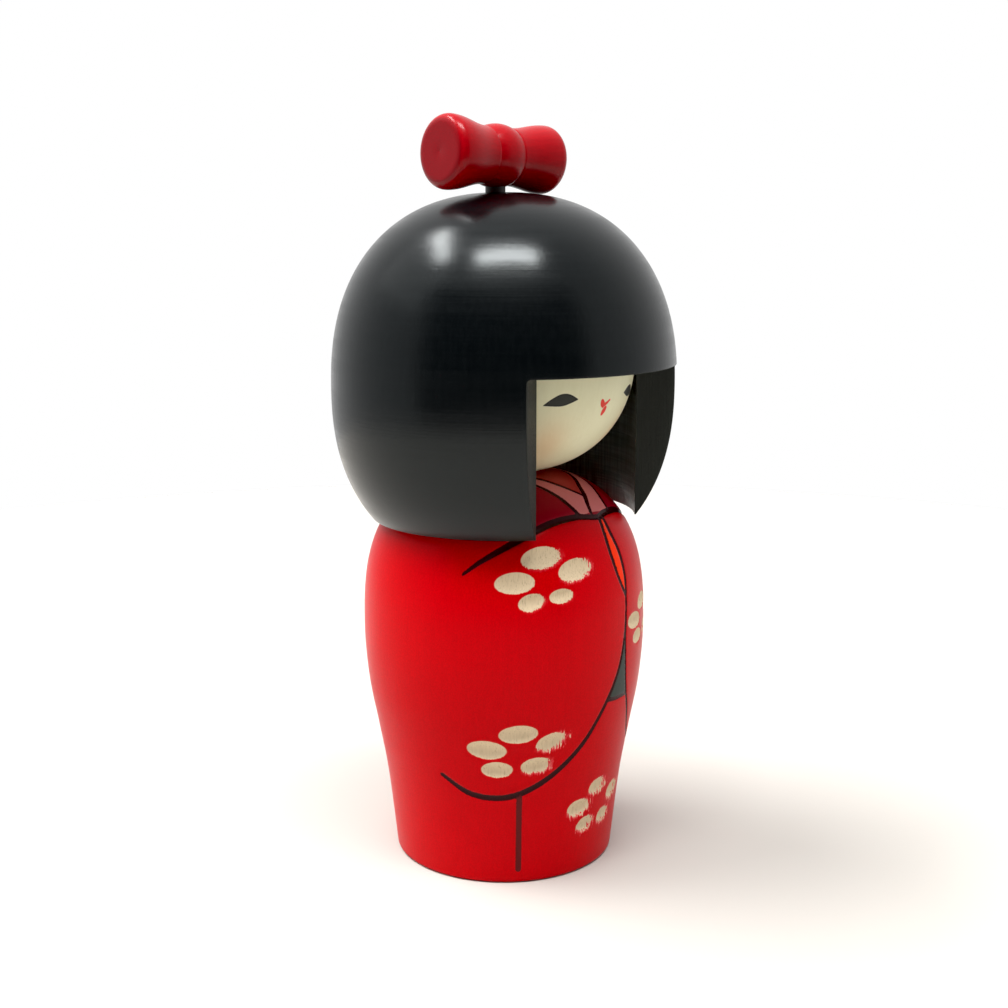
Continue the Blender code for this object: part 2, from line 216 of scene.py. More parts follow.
# Each incised line, the depth of its groove and the darkness of its ink
STROKES = (
    (SLEEVE_LINE, 0.30, 1.0),
    (FRONT_LINE, 0.30, 1.0),
    (COLLAR_LINE, 0.30, 1.0),
    (BAND_LEFT_UPPER, 0.22, 1.0),
    (BAND_LEFT_LOWER, 0.22, 1.0),
    (BAND_RIGHT_UPPER, 0.22, 1.0),
    (BAND_RIGHT_LOWER, 0.22, 1.0),
    (LINING_LEFT, 0.22, 1.0),
    (LINING_RIGHT, 0.22, 1.0),
    (SASH_EDGE, 0.22, 1.0),
    (SKIRT_LEFT, 0.12, 0.45),
    (SKIRT_RIGHT, 0.12, 0.45),
)
STROKE_STEPS = 6
THROAT_TURN = 20.0
# How far round from the front the painted shade under the hair reaches, and over how many degrees it fades
# out
OPENING_TURN = 52.0
OPENING_FADE = 14.0

# Face
UPPER_LID = ((-33.2, 96.0), (-29.5, 97.2), (-25.2, 98.1), (-20.9, 98.0), (-16.2, 96.9))
LOWER_LID = ((-16.2, 96.9), (-20.3, 96.2), (-24.8, 95.75), (-33.2, 96.0))
LID_LINE = 0.2
LIP_STROKES = (
    ((-1.9, 96.1, 0.38), (-1.2, 95.6, 0.60), (-0.2, 95.1, 0.48)),
    ((0.0, 95.2, 0.38), (1.8, 95.5, 0.34), (3.7, 96.05, 0.22)),
    ((1.8, 94.5, 0.48), (1.2, 94.0, 0.64), (0.7, 93.5, 0.46)),
)
BLUSH_TURN = 28.0
BLUSH_HEIGHT = 87.8
BLUSH_SPREAD = 3.6

# Camera
CAMERA_TURN = math.radians(-49.5)
CAMERA_TILT = math.radians(11.18)
CAMERA_STAND_OFF = 292.6
CAMERA_HEIGHT = 130.5
CAMERA_LENS = 51.9
CAMERA_SENSOR = 36.0

# Stage, in metres
FLOOR_HEIGHT = -0.00005
FLOOR_RADIUS = 0.42
FLOOR_SIDES = 96
LAMP_DISTANCE = 3.0
DOLL_MIDDLE = Vector((0.0, 0.0, 0.08))

# The room: how bright its walls are, and where it is unlit beyond the camera. A heading is the cosine of
# the angle to the camera's side, and a rise is the sine of the angle upwards.
WALL_BEHIND = 0.86
WALL_BESIDE = 0.63
WALL_UNLIT = 0.17
WALL_HEADINGS = (-0.9, 0.4)
UNLIT_HEADINGS = (0.42, 0.66)
UNLIT_RISES = (0.6, 0.78)
SHADOW_HOLD = 0.004


# Outlines, as arrays of (radius, height) rows


def superellipse(centre, radius, half_height, start, end, count, power=TURNED_POWER):
    """Part of a superellipse, between two angles measured up from its widest ring."""
    angles = np.linspace(start, end, count)
    across = np.abs(np.cos(angles)) ** (2.0 / power)
    up = np.sign(angles) * np.abs(np.sin(angles)) ** (2.0 / power)
    return np.column_stack([radius * across, centre + half_height * up])


def superellipse_angle(rise, half_height, power=TURNED_POWER):
    """The angle at which a superellipse stands this far above its widest ring."""
    return math.copysign(math.asin((abs(rise) / half_height) ** (power / 2.0)), rise)


def smooth_through(points, steps, beyond=None):
    """A Catmull-Rom curve through the points. The point beyond the end sets the direction there."""
    points = np.array(points, float)
    last = 2.0 * points[-1] - points[-2] if beyond is None else np.array(beyond, float)
    knots = np.vstack([2.0 * points[0] - points[1], points, last])
    curve = []
    for before, start, end, after in zip(knots, knots[1:], knots[2:], knots[3:]):
        for t in np.arange(steps) / steps:
            linear = (end - before) * t
            square = (before * 2.0 - start * 5.0 + end * 4.0 - after) * t**2
            cube = (start * 3.0 - before - end * 3.0 + after) * t**3
            curve.append(start + (linear + square + cube) * 0.5)
    curve.append(points[-1])
    return np.array(curve)


def arc(centre_radius, centre_height, radius, start, end, count):
    """A round corner, between two angles in degrees measured up from the outward direction."""
    angles = np.radians(np.linspace(start, end, count))
    across = centre_radius + radius * np.cos(angles)
    return np.column_stack([across, centre_height + radius * np.sin(angles)])


def evenly(outline, count):
    """The same outline in even steps along its length."""
    lengths = np.hypot(*np.diff(outline, axis=0).T)
    travelled = np.concatenate([[0.0], np.cumsum(lengths)])
    places = np.linspace(0.0, travelled[-1], count)
    return np.column_stack([np.interp(places, travelled, outline[:, column]) for column in (0, 1)])


def line(*points):
    """A plain outline through the points given."""
    return np.array(points, float)


def body_side():
    """The body's outer side, from the top of the rounded base edge to the edge of the seat."""
    beyond = (BODY_FLANK[-1][0], 2.0 * WIDEST_HEIGHT - BODY_FLANK[-1][1])
    flank = smooth_through([*BODY_FLANK, (BODY_RADIUS, WIDEST_HEIGHT)], 40, beyond)
    seat_angle = superellipse_angle(SEAT_HEIGHT - WIDEST_HEIGHT, SHOULDER_HALF_HEIGHT, SHOULDER_POWER)
    shoulder = superellipse(
        WIDEST_HEIGHT, BODY_RADIUS, SHOULDER_HALF_HEIGHT, 0.0, seat_angle, 400, SHOULDER_POWER
    )
    side = np.vstack([flank[:-1], shoulder])
    return evenly(side[side[:, 1] >= BASE_ROUND], BODY_ROWS)


BODY_SIDE = body_side()


def body_radius(height):
    return np.interp(height, BODY_SIDE[:, 1], BODY_SIDE[:, 0])


def placed(turns, radii, heights):
    """Points about the upright axis, from turns in degrees."""
    angles = np.radians(turns)
    return np.stack([radii * np.sin(angles), -radii * np.cos(angles), heights + 0.0 * angles], axis=-1)


# Reaches of carved and painted marks


def away_from(points, start, end):
    """How far along a straight run each point lies, as a share of it, and how far away from it."""
    along = end - start
    share = np.clip((points - start) @ along / max(along @ along, TINY), 0.0, 1.0)
    return share, np.linalg.norm(points - start - share[:, None] * along, axis=1)


def stroke_reach(points, spine, half_widths):
    """How far points lie inside a stroke of a brush or gouge whose spine is a line of 3-D points."""
    reach = np.full(len(points), -FAR)
    near = np.all((points > spine.min(0) - FAR) & (points < spine.max(0) + FAR), axis=1)
    close = points[near]
    best = reach[near]
    for start, end, wide_start, wide_end in zip(spine, spine[1:], half_widths, half_widths[1:]):
        share, away = away_from(close, start, end)
        best = np.maximum(best, wide_start + (wide_end - wide_start) * share - away)
    reach[near] = best
    return reach


def region_reach(places, corners):
    """How far places on a flat plan lie inside a closed outline."""
    inside = np.zeros(len(places), bool)
    away = np.full(len(places), FAR)
    for start, end in zip(corners, np.roll(corners, -1, axis=0)):
        away = np.minimum(away, away_from(places, start, end)[1])
        crosses = (start[1] > places[:, 1]) != (end[1] > places[:, 1])
        along, rise = end - start
        slope = along / (rise if abs(rise) > TINY else TINY)
        inside ^= crosses & (places[:, 0] < start[0] + (places[:, 1] - start[1]) * slope)
    return np.where(inside, away, -away)


def unrolled(turns, heights, reach):
    """Places on a flat plan of a turned surface."""
    return np.column_stack([np.radians(turns) * reach, heights])


# Meshes


def store(mesh, name, values):
    """Keep a number or a vector for each vertex, under a name that the materials read."""
    is_vector = values.ndim == 2
    if name in mesh.attributes:
        mesh.attributes.remove(mesh.attributes[name])
    layer = mesh.attributes.new(name, "FLOAT_VECTOR" if is_vector else "FLOAT", "POINT")
    layer.data.foreach_set("vector" if is_vector else "value", values.astype(np.float32).ravel())


def store_lathe(mesh, centre, radius, placing=Matrix()):
    """Keep each vertex's place on the lathe, and how far along it the tool had travelled there."""
    points = np.empty(len(mesh.vertices) * 3)
    mesh.vertices.foreach_get("co", points)
    to_lathe = np.array(placing.inverted())
    points = (points.reshape(-1, 3) @ to_lathe[:3, :3].T + to_lathe[:3, 3]) / MM
    across = np.hypot(points[:, 0], points[:, 1])
    travel = radius * np.arctan2(points[:, 2] - centre, across)
    store(mesh, "lathe", points)
    store(mesh, "turning", np.column_stack([points[:, 0], points[:, 1], travel]))


def lathe_faces(rings, columns, first_vertex):
    """Quads between neighbouring closed rings, listed from the lowest ring up."""
    ring = np.arange(rings - 1)[:, None] * columns + first_vertex
    column = np.arange(columns)
    after = (column + 1) % columns
    above = ring + columns
    quads = np.stack([ring + column, ring + after, above + after, above + column], axis=-1)
    return quads.reshape(-1, 4).tolist()


def crowded_turns(columns, crowding):
    """Turns all the way round, closer together towards the front."""
    even = np.linspace(-math.pi, math.pi, columns, endpoint=False)
    return np.degrees(even - crowding * np.sin(even))


def turned_points(outline, turns):
    """Rings of points for every outline row but the two on the axis."""
    return placed(turns[None, :], outline[1:-1, 0][:, None], outline[1:-1, 1][:, None])


def lathe_mesh(name, outline, rings):
    """A closed turned mesh. The outline starts on the axis, goes out and up, and ends on the axis."""
    count, columns = rings.shape[:2]
    start = [0.0, 0.0, outline[0, 1]]
    end = [0.0, 0.0, outline[-1, 1]]
    points = np.vstack([[start], rings.reshape(-1, 3), [end]])
    faces = lathe_faces(count, columns, 1)
    last = len(points) - 1
    for column in range(columns):
        after = (column + 1) % columns
        faces.append((0, 1 + after, 1 + column))
        faces.append((last, last - columns + column, last - columns + after))
    mesh = bpy.data.meshes.new(name)
    mesh.from_pydata((points * MM).tolist(), [], faces)
    return mesh, points


def add_piece(name, mesh, body, node, slot, *finishes):
    """Put a mesh in the scene as the looks of one CAD node."""
    piece = bpy.data.objects.new(name, mesh)
    bpy.context.scene.collection.objects.link(piece)
    for finish in finishes:
        mesh.materials.append(finish)
    mesh.shade_smooth()
    mesh.set_sharp_from_angle(angle=SHARP_EDGE)
    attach(piece, body)
    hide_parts(node)
    return piece


def turned_piece(name, outline, columns, placing, centre, radius):
    """A plain turned mesh, moved from the lathe to its place on the doll."""
    turns = np.arange(columns) * 360.0 / columns
    mesh = lathe_mesh(name, outline, turned_points(outline, turns))[0]
    mesh.transform(placing)
    store_lathe(mesh, centre, radius, placing)
    return mesh


def at_peg(height):
    """The move from the lathe to the bow peg's axis."""
    middle = (PEG_LOW + PEG_HIGH) / 2.0
    return Matrix.Translation((middle[0] * MM, middle[1] * MM, height * MM))


def bored(mesh, low, high):
    """The mesh with the bow peg's hole cut through it."""
    radius = PEG_RADIUS + PEG_FIT
    outline = line((0.0, low), (radius, low), (radius, high), (0.0, high))
    cutter_mesh = turned_piece("peg_hole", outline, PEG_HOLE_COLUMNS, at_peg(0.0), 0.0, radius)
    cutter = bpy.data.objects.new("peg_hole", cutter_mesh)
    blank = bpy.data.objects.new("blank", mesh)
    for obj in (cutter, blank):
        bpy.context.scene.collection.objects.link(obj)
    cut = blank.modifiers.new("Bore", "BOOLEAN")
    cut.object = cutter
    cut.solver = "EXACT"
    bpy.context.view_layer.update()
    result = bpy.data.meshes.new_from_object(blank.evaluated_get(bpy.context.evaluated_depsgraph_get()))
    result.name = mesh.name
    for obj in (cutter, blank):
        bpy.data.objects.remove(obj)
    return result


# Materials


def paint(red, green, blue):
    """A colour as it is seen, from 0 to 255 a channel, as the linear values that a shader takes."""
    seen = np.array([red, green, blue]) / 255.0
    linear = np.where(seen <= 0.04045, seen / 12.92, ((seen + 0.055) / 1.055) ** 2.4)
    return (*linear.tolist(), 1.0)


class Pattern:
    """Something worked out by shader nodes."""

    def __init__(self, tree):
        self.tree = tree

    def feed(self, socket, value):
        if isinstance(value, bpy.types.NodeSocket):
            self.tree.links.new(value, socket)
        else:
            socket.default_value = value

    def node(self, kind, inputs, output=0, **settings):
        """Add a node, set or join its inputs, and return one of its outputs."""
        made = self.tree.nodes.new("ShaderNode" + kind)
        for key, value in settings.items():
            setattr(made, key, value)
        for key, value in inputs.items():
            self.feed(made.inputs[key], value)
        return None if output is None else made.outputs[output]

    def calc(self, operation, first, second=0.0):
        return self.node("Math", {0: first, 1: second}, operation=operation)

    def step(self, value, low, high, to_low=0.0, to_high=1.0):
        """A smooth step, from one value to another as the input goes from low to high."""
        inputs = {"Value": value, "From Min": low, "From Max": high, "To Min": to_low, "To Max": to_high}
        return self.node("MapRange", inputs, interpolation_type="SMOOTHSTEP")

    def mix_number(self, share, first, second):
        return self.node("Mix", {0: share, 2: first, 3: second}, 0, data_type="FLOAT")


class Finish(Pattern):
    """A material whose pattern is worked out by nodes around one Principled shader."""

    def __init__(self, name):
        self.material = bpy.data.materials.new(name)
        self.material.use_nodes = True
        super().__init__(self.material.node_tree)
        self.shader = self.tree.nodes["Principled BSDF"]

    def stored(self, name):
        """A number kept for each vertex."""
        return self.node("Attribute", {}, "Fac", attribute_name=name)

    def scaled(self, name, across, along):
        """A stored place, stretched across and along the lathe's axis."""
        place = self.node("Attribute", {}, "Vector", attribute_name=name)
        return self.node("VectorMath", {0: place, 1: (across, across, along)}, operation="MULTIPLY")

    def noise(self, place, detail=3.0, roughness=0.5):
        inputs = {"Vector": place, "Scale": 1.0, "Detail": detail, "Roughness": roughness}
        return self.node("TexNoise", inputs)

    def mix(self, share, first, second):
        return self.node("Mix", {0: share, 6: first, 7: second}, 2, data_type="RGBA")

    def bump(self, height, depth, normal=None):
        inputs = {"Height": height, "Distance": depth * MM}
        if normal is not None:
            inputs["Normal"] = normal
        return self.node("Bump", inputs)

    def set(self, **inputs):
        """Set the shader's inputs, and return the finished material."""
        for name, value in inputs.items():
            self.feed(self.shader.inputs[name.replace("_", " ").title().replace("Ior", "IOR")], value)
        return self.material


def kimono_finish():
    """Red lacquer over pale wood, cut back to bare wood in the petals and inked in the grooves, with painted
    shade under the hair.
    """
    finish = Finish("kimono_lacquer")
    grain = finish.noise(finish.scaled("lathe", 2.4, 0.07), 4.0)
    cloud = finish.noise(finish.scaled("lathe", 0.06, 0.04), 2.0)
    fibre = finish.noise(finish.scaled("lathe", 2.6, 0.3), 3.0, 0.65)
    speck = finish.noise(finish.scaled("lathe", 5.0, 3.0), 2.0)
    tear = finish.calc("MULTIPLY", finish.calc("SUBTRACT", fibre, 0.52), finish.stored("torn"))
    tear = finish.calc("MULTIPLY", tear, 2.6)
    petal_reach = finish.calc("ADD", finish.stored("petal"), tear)
    bare = finish.step(petal_reach, -0.06, 0.06)
    halo = finish.calc("MULTIPLY", finish.step(petal_reach, -0.6, 0.0), finish.stored("halo"))
    wander = finish.calc("MULTIPLY", finish.calc("SUBTRACT", speck, 0.5), 0.3)
    ink = finish.step(finish.calc("ADD", finish.stored("ink"), wander), -0.06, 0.06)

    mottle = finish.mix_number(0.25, speck, grain)
    red = finish.mix(finish.step(mottle, 0.35, 0.65), RED_DARK, RED_LIGHT)
    red = finish.mix(finish.calc("MULTIPLY", cloud, 0.35), red, RED_DEEP)
    # Painted shade: a darker, purpler red inside the collar, where the hair hangs over the front of the body
    red = finish.mix(finish.stored("inner"), red, HAIR_SHADE_RED)
    sash = finish.mix(speck, SASH_DARK, SASH_LIGHT)
    fills = {"throat": THROAT_RED, "band": BAND_PINK, "lining": LINING_ORANGE, "sash": sash}
    for mark, fill in fills.items():
        red = finish.mix(finish.step(finish.stored(mark), -0.1, 0.1), red, fill)
    red = finish.mix(finish.calc("MULTIPLY", halo, 0.75), red, HALO_PINK)
    inked = finish.mix(speck, INK_DARK, INK_LIGHT)
    inked = finish.mix(finish.stored("ink_tone"), INK_BROWN, inked)
    colour = finish.mix(ink, red, inked)
    wood = finish.mix(finish.noise(finish.scaled("lathe", 3.0, 0.25), 4.0), WOOD_DARK, WOOD_LIGHT)
    pore = finish.noise(finish.scaled("lathe", 5.5, 0.6), 2.0)
    wood = finish.mix(finish.step(pore, 0.56, 0.7, 0.0, 0.55), wood, WOOD_FLECK)
    colour = finish.mix(bare, colour, wood)

    rough = finish.step(cloud, 0.3, 0.7, 0.31, 0.38)
    rough = finish.mix_number(ink, rough, 0.27)
    rough = finish.mix_number(bare, rough, 0.8)
    shine = finish.mix_number(ink, 0.08, 0.12)
    marks = finish.noise(finish.scaled("turning", 0.05, 3.0), 4.0)
    normal = finish.bump(finish.mix_number(bare, finish.mix_number(0.4, marks, grain), fibre), 0.03)
    return finish.set(base_color=colour, roughness=rough, normal=normal, specular_ior_level=shine)


RED_LIGHT = paint(210, 1, 14)
RED_DARK = paint(190, 1, 11)
RED_DEEP = paint(178, 1, 9)
# Painted shade under the hair, inside the collar
HAIR_SHADE_RED = paint(150, 14, 34)
THROAT_RED = paint(174, 58, 54)
BAND_PINK = paint(222, 126, 126)
LINING_ORANGE = paint(255, 52, 4)
SASH_DARK = paint(52, 59, 56)
SASH_LIGHT = paint(71, 77, 73)
HALO_PINK = paint(240, 104, 112)
INK_DARK = paint(26, 10, 13)
INK_LIGHT = paint(70, 20, 24)
INK_BROWN = paint(118, 30, 31)
WOOD_DARK = paint(208, 186, 154)
WOOD_LIGHT = paint(229, 209, 176)
WOOD_FLECK = paint(166, 143, 110)


def hair_finish(name, dark, light, rough, ring_depth, ring_pitch):
    """Black lacquer or stain, with the rings that the tool left and a little dust."""
    finish = Finish(name)
    rings = finish.noise(finish.scaled("turning", 0.035, ring_pitch), 5.0, 0.6)
    broad = finish.noise(finish.scaled("turning", 0.02, 0.35), 3.0)
    grain = finish.noise(finish.scaled("lathe", 1.8, 0.1), 4.0)
    colour = finish.mix(finish.step(finish.calc("MULTIPLY", rings, grain), 0.12, 0.4), dark, light)
    dust = finish.node("TexVoronoi", {"Vector": finish.scaled("lathe", 0.16, 0.16), "Scale": 1.0})
    colour = finish.mix(finish.step(dust, 0.006, 0.012, 0.5, 0.0), colour, DUST)
    roughness = finish.step(broad, 0.3, 0.7, rough - 0.03, rough + 0.04)
    normal = finish.bump(rings, ring_depth, finish.bump(grain, 0.015))
    finish.set(specular_ior_level=0.35, specular_tint=(0.93, 1.0, 1.0, 1.0))
    return finish.set(base_color=colour, roughness=roughness, normal=normal)


def cut_hair_finish():
    """The sawn faces beside and above the face, stained a flatter grey-black, with upright saw marks."""
    finish = Finish("hair_cut_wood")
    saw = finish.noise(finish.scaled("lathe", 3.2, 0.12), 4.0, 0.6)
    pores = finish.noise(finish.scaled("lathe", 5.0, 2.4), 3.0)
    colour = finish.mix(saw, CUT_DARK, CUT_LIGHT)
    colour = finish.mix(finish.step(pores, 0.6, 0.75, 0.0, 0.5), colour, CUT_PORE)
    normal = finish.bump(saw, 0.06, finish.bump(pores, 0.03))
    rough = finish.step(pores, 0.3, 0.7, 0.5, 0.62)
    return finish.set(base_color=colour, roughness=rough, normal=normal, specular_ior_level=0.25)


DUST = paint(150, 150, 145)
HAIR_DARK = paint(3, 5, 7)
HAIR_LIGHT = paint(9, 12, 14)
BORE_DARK = paint(76, 84, 86)
BORE_LIGHT = paint(104, 114, 116)
CUT_DARK = paint(17, 19, 15)
CUT_LIGHT = paint(34, 37, 31)
CUT_PORE = paint(10, 11, 9)


def face_finish():
    """Cream paint with two narrow eyes, three lip strokes and a faint blush."""
    finish = Finish("face_paint")
    grain = finish.noise(finish.scaled("lathe", 1.4, 0.12), 4.0)
    speck = finish.noise(finish.scaled("lathe", 6.0, 6.0), 2.0)
    wander = finish.calc("MULTIPLY", finish.calc("SUBTRACT", speck, 0.5), 0.08)
    skin = finish.mix(grain, SKIN_DARK, SKIN_LIGHT)
    skin = finish.mix(finish.calc("MULTIPLY", finish.stored("blush"), 0.38), skin, BLUSH)
    lips = finish.step(finish.calc("ADD", finish.stored("lips"), wander), -0.05, 0.05)
    skin = finish.mix(lips, skin, finish.mix(speck, LIP_RED, LIP_LIGHT))
    eye_reach = finish.calc("ADD", finish.stored("eyes"), wander)
    eye = finish.mix(finish.step(eye_reach, LID_LINE - 0.04, LID_LINE + 0.04), LID_BLACK, EYE_GREY)
    colour = finish.mix(finish.step(eye_reach, -0.05, 0.05), skin, eye)
    rings = finish.noise(finish.scaled("turning", 0.04, 2.5), 4.0)
    normal = finish.bump(finish.mix_number(0.5, rings, grain), 0.02)
    rough = finish.step(grain, 0.3, 0.7, 0.38, 0.46)
    return finish.set(base_color=colour, roughness=rough, normal=normal, specular_ior_level=0.25)


SKIN_LIGHT = paint(232, 229, 194)
SKIN_DARK = paint(224, 220, 181)
BLUSH = paint(218, 152, 96)
LIP_RED = paint(210, 22, 10)
LIP_LIGHT = paint(232, 48, 20)
LID_BLACK = paint(22, 20, 20)
EYE_GREY = paint(40, 42, 38)


def bow_finish():
    """Glossy red lacquer, a little deeper than the kimono's, with the grain showing faintly along it."""
    finish = Finish("bow_lacquer")
    grain = finish.noise(finish.scaled("lathe", 1.6, 0.08), 4.0, 0.6)
    rings = finish.noise(finish.scaled("turning", 0.05, 3.0), 4.0)
    colour = finish.mix(grain, BOW_DARK, BOW_LIGHT)
    place = finish.scaled("lathe", 1.0, 1.0)
    along = finish.calc("ABSOLUTE", finish.node("SeparateXYZ", {"Vector": place}, "Z"))
    ends = finish.step(along, BOW_HALF_LENGTH - 0.5, BOW_HALF_LENGTH - 0.1)
    colour = finish.mix(ends, colour, BOW_END_GRAIN)
    normal = finish.bump(finish.mix_number(0.5, rings, grain), 0.02)
    rough = finish.step(grain, 0.3, 0.7, 0.2, 0.27)
    return finish.set(base_color=colour, roughness=rough, normal=normal, specular_ior_level=0.2)


BOW_DARK = paint(144, 2, 14)
BOW_LIGHT = paint(178, 3, 18)
BOW_END_GRAIN = paint(132, 4, 16)


def peg_finish(name, dark, light, rough):
    """A plain dowel: long grain and open pores."""
    finish = Finish(name)
    grain = finish.noise(finish.scaled("lathe", 3.0, 0.15), 4.0, 0.6)
    pores = finish.noise(finish.scaled("lathe", 7.0, 0.9), 2.0)
    colour = finish.mix(finish.calc("MULTIPLY", grain, pores), light, dark)
    return finish.set(base_color=colour, roughness=rough, normal=finish.bump(grain, 0.03))


# Pieces


def body_outline():
    """The body's outline, from the base up its side, over the seat and down into the socket.

    It comes with the row at which the side starts, of the rows that are off the axis.
    """
    socket = DOWEL_RADIUS + BORE_CLEARANCE
    socket_floor = DOWEL_LOW[2] - GLUE_GAP
    base_radius = BODY_SIDE[0, 0] - BASE_ROUND
    base = line((0.0, 0.0), (base_radius * 0.5, 0.0))
    corner = arc(base_radius, BASE_ROUND, BASE_ROUND, -90.0, -15.0, 6)
    seat = evenly(line((BODY_SIDE[-1, 0], SEAT_HEIGHT), (socket + DOWEL_CHAMFER, SEAT_HEIGHT)), 9)[1:]
    bore = evenly(line((socket, SEAT_HEIGHT - DOWEL_CHAMFER), (socket, socket_floor)), 8)
    outline = np.vstack([base, corner, BODY_SIDE, seat, bore, [(0.0, socket_floor)]])
    return outline, len(base) + len(corner) - 1


def carved(turns, depth):
    """How far each point of the body's side moves when it is cut to this depth, square to the surface."""
    slope = np.gradient(BODY_SIDE, axis=0)
    facing = np.column_stack([slope[:, 1], -slope[:, 0]])
    facing /= np.linalg.norm(facing, axis=1)[:, None]
    return placed(turns[None, :], depth * facing[:, :1], depth * facing[:, 1:])


def make_kimono():
    """The body: a turned solid with carved petals, incised lines and painted bands."""
    outline, first = body_outline()
    side = slice(first, first + len(BODY_SIDE))
    turns = crowded_turns(BODY_COLUMNS, FRONT_CROWDING)
    rings = turned_points(outline, turns)
    marks = kimono_marks(rings[side].reshape(-1, 3), np.tile(turns, len(BODY_SIDE)))
    rings[side] -= carved(turns, marks.pop("depth").reshape(len(BODY_SIDE), -1))

    mesh, points = lathe_mesh("kimono_body", outline, rings)
    store_lathe(mesh, WIDEST_HEIGHT, BODY_RADIUS)
    start = 1 + first * BODY_COLUMNS
    for name, values in marks.items():
        whole = np.full(len(points), -FAR if name in KIMONO_REACHES else 0.0)
        whole[start : start + len(values)] = values
        store(mesh, name, whole)
    return add_piece("kimono_body", mesh, "body", "body", "kimono_lacquer", kimono_finish())


KIMONO_REACHES = ("petal", "ink", "band", "throat", "lining", "sash")


def kimono_marks(surface, turn):
    """Every carved or painted mark on the body, and the painted shade under the hair, as one value for each
    point of its outer side.
    """
    height = surface[:, 2]
    petal, torn, scoop = petal_marks(surface)
    ink = np.full(len(surface), -FAR)
    tone = np.ones(len(surface))
    groove = np.zeros(len(surface))
    for points, depth, darkness in STROKES:
        path = smooth_through(points, STROKE_STEPS)
        spine = placed(path[:, 0], body_radius(path[:, 1]), np.minimum(path[:, 1], SEAT_HEIGHT))
        reach = stroke_reach(surface, spine, path[:, 2])
        tone = np.where(reach > ink, darkness, tone)
        ink = np.maximum(ink, reach)
        groove = np.maximum(groove, depth * np.clip(reach / np.mean(path[:, 2]), 0.0, 1.0) ** 0.7)
    plan = unrolled(turn, height, PLAN_REACH)
    above = SEAT_HEIGHT + FAR
    over = [(THROAT_TURN, above), (-THROAT_TURN, above)]
    band_left = outline_of([*BAND_LEFT_UPPER, *BAND_RIGHT_UPPER[-3:], *reversed(BAND_LEFT_LOWER)])
    band_right = outline_of([*BAND_RIGHT_UPPER, *reversed(BAND_RIGHT_LOWER)])
    throat = outline_of([*BAND_LEFT_UPPER, *reversed(BAND_RIGHT_UPPER[:-2]), *over])
    # Painted shade under the hair: the body inside the collar line, faded out towards the sides
    inner = outline_of([*COLLAR_LINE, (COLLAR_LINE[-1][0], above), (COLLAR_LINE[0][0], above)])
    opening = np.clip((OPENING_TURN - np.abs(turn)) / OPENING_FADE, 0.0, 1.0)
    lining = outline_of([*LINING_LEFT, *reversed(LINING_RIGHT)])
    sash = outline_of([*SLEEVE_LINE[1:4], *SASH_EDGE, *reversed(FRONT_LINE[1:5])])
    return {
        "petal": petal,
        "torn": torn,
        "halo": np.clip(torn - 0.25, 0.0, 1.0),
        "ink": ink,
        "ink_tone": tone,
        "band": np.maximum(region_reach(plan, band_left), region_reach(plan, band_right)),
        "inner": np.clip(0.5 + 5.0 * region_reach(plan, inner), 0.0, 1.0) * opening,
        "throat": region_reach(plan, throat),
        "lining": region_reach(plan, lining),
        "sash": region_reach(plan, sash),
        "depth": np.maximum(scoop, groove),
    }


def outline_of(points):
    """A closed outline on the body's flat plan."""
    return np.array([(math.radians(point[0]) * PLAN_REACH, point[1]) for point in points])


def petal_marks(surface):
    """The reach of the nearest petal, how torn its edge is, and the depth of the gouge's scoop."""
    petal = np.full(len(surface), -FAR)
    torn = np.zeros(len(surface))
    for petals, flower_turn, flower_height, size in FLOWERS:
        for across, up, half_length, half_height, lean, tear in petals:
            height = flower_height + up * size
            radius = body_radius(height)
            turn = flower_turn + math.degrees(across * size / radius)
            centre = placed(turn, radius, height)
            steepness = math.atan2(body_radius(height + 0.5) - body_radius(height - 0.5), 1.0)
            east = placed(turn + 90.0, 1.0, 0.0)
            north = placed(turn, math.sin(steepness), math.cos(steepness))
            offset = surface - centre
            tilt = math.radians(lean)
            along = offset @ (east * math.cos(tilt) + north * math.sin(tilt)) / (half_length * size)
            athwart = offset @ (north * math.cos(tilt) - east * math.sin(tilt)) / (half_height * size)
            reach = (1.0 - np.hypot(along, athwart)) * half_height * size
            reach = np.where(np.linalg.norm(offset, axis=1) < 2.0 * half_length, reach, -FAR)
            # The fibres tear most where the gouge leaves the wood, at the petal's right and lower edge
            raggedness = tear * np.clip(0.55 + 0.4 * along - 0.5 * athwart, 0.1, 1.3)
            torn = np.where(reach > petal, raggedness, torn)
            petal = np.maximum(petal, reach)
    edge = np.clip(petal / PETAL_EDGE_WIDTH, 0.0, 1.0)
    bowl = np.clip(petal / PETAL_BOWL, 0.0, 1.0)
    return petal, torn, PETAL_EDGE_DEPTH * edge + PETAL_SCOOP_DEPTH * bowl * (2.0 - bowl)


def make_neck_dowel():
    outline = peg_outline(DOWEL_RADIUS, DOWEL_LOW[2], DOWEL_HIGH[2])
    mesh = turned_piece("neck_pin", outline, DOWEL_COLUMNS, Matrix(), SEAT_HEIGHT, DOWEL_RADIUS)
    finish = peg_finish("dowel_wood", paint(176, 142, 98), paint(226, 202, 158), 0.6)
    return add_piece("neck_pin", mesh, "head", "neck_dowel", "dowel_wood", finish)


def peg_outline(radius, low, high):
    """A dowel with rounded ends, faintly waisted where it was sanded."""
    bottom = arc(radius - DOWEL_CHAMFER, low + DOWEL_CHAMFER, DOWEL_CHAMFER, -90.0, 0.0, 6)
    top = arc(radius - DOWEL_CHAMFER, high - DOWEL_CHAMFER, DOWEL_CHAMFER, 0.0, 90.0, 6)
    heights = np.linspace(low + DOWEL_CHAMFER, high - DOWEL_CHAMFER, 24)[1:-1]
    waist = SANDED_WAIST * np.sin(np.linspace(0.0, math.pi, len(heights)))
    shank = np.column_stack([radius - waist, heights])
    return np.vstack([[(0.0, low)], bottom, shank, top, [(0.0, high)]])


